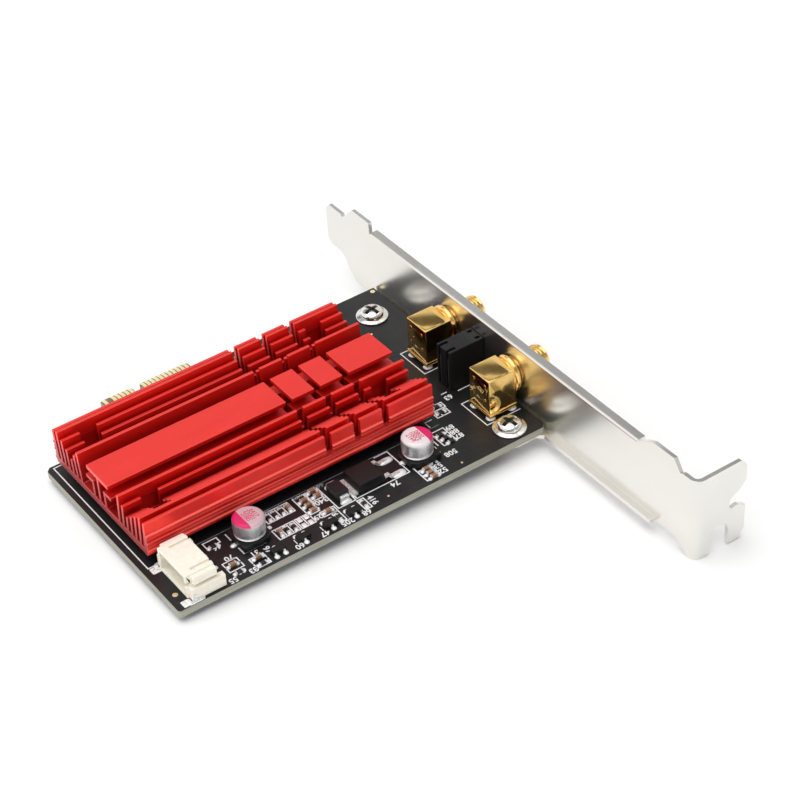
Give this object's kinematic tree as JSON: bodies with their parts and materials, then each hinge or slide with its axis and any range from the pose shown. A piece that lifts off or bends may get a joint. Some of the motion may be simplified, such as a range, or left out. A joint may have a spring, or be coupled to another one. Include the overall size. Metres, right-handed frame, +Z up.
{
  "type": "wireless network card",
  "caption": "Expansion card for wireless networking: keyed edge connector, finned heatsink, antenna jacks through a folded steel bracket, cable header and surface-mounted parts.",
  "frame": {"origin": "centre of the bounding box in X and Y, at the lowest point of the bracket's bent screw tab", "axes": "+X from the board's free end to the bracket and its jacks, +Y along the bracket towards the edge connector and the bracket's tongue, +Z up from the component side"},
  "size_m": [0.0968, 0.12, 0.0212],
  "materials": {
    "board": "satin black solder mask over glass-fibre laminate",
    "gold_plate": "polished gold plate",
    "bracket_nickel": "bright nickel-plated steel sheet",
    "screw_nickel": "nickel-plated steel",
    "red_anodised": "red anodised, satin",
    "pad_silicone": "soft thermal pad",
    "moulding": "moulded epoxy, matte",
    "insulator": "turned fluoropolymer",
    "lens": "clear tinted resin",
    "tin": "tinned copper",
    "can_aluminium": "drawn aluminium can",
    "resistor_black": "glazed thick film",
    "capacitor_brown": "fired ceramic",
    "header_nylon": "moulded cream nylon"
  },
  "bodies": {
    "root": {"pcb": "board", "edge_contacts": "gold_plate", "bracket": "bracket_nickel", "bracket_screws": "screw_nickel", "bracket_washers": "screw_nickel", "heatsink": "red_anodised", "heatsink_screws": "screw_nickel", "heatsink_nuts": "screw_nickel", "thermal_pad": "pad_silicone", "radio_chip": "moulding", "antenna_jack_1_body": "gold_plate", "antenna_jack_1_insulator": "insulator", "antenna_jack_1_pin": "gold_plate", "antenna_jack_1_nut": "gold_plate", "antenna_jack_1_lock_washer": "gold_plate", "antenna_jack_2_body": "gold_plate", "antenna_jack_2_insulator": "insulator", "antenna_jack_2_pin": "gold_plate", "antenna_jack_2_nut": "gold_plate", "antenna_jack_2_lock_washer": "gold_plate", "lamp_holder": "moulding", "lamp_lenses": "lens", "lamp_leads": "tin", "capacitor_1_can": "can_aluminium", "capacitor_1_base": "moulding", "capacitor_1_feet": "tin", "capacitor_2_can": "can_aluminium", "capacitor_2_base": "moulding", "capacitor_2_feet": "tin", "power_transistor_body": "moulding", "power_transistor_leads": "tin", "diode_body": "moulding", "diode_terminals": "tin", "small_transistor_bodies": "moulding", "small_transistor_leads": "tin", "chip_resistors": "resistor_black", "chip_capacitors": "capacitor_brown", "chip_terminals": "tin", "cable_header_shell": "header_nylon", "cable_header_pins": "tin", "cable_header_anchors": "tin"}
  },
  "joints": []
}
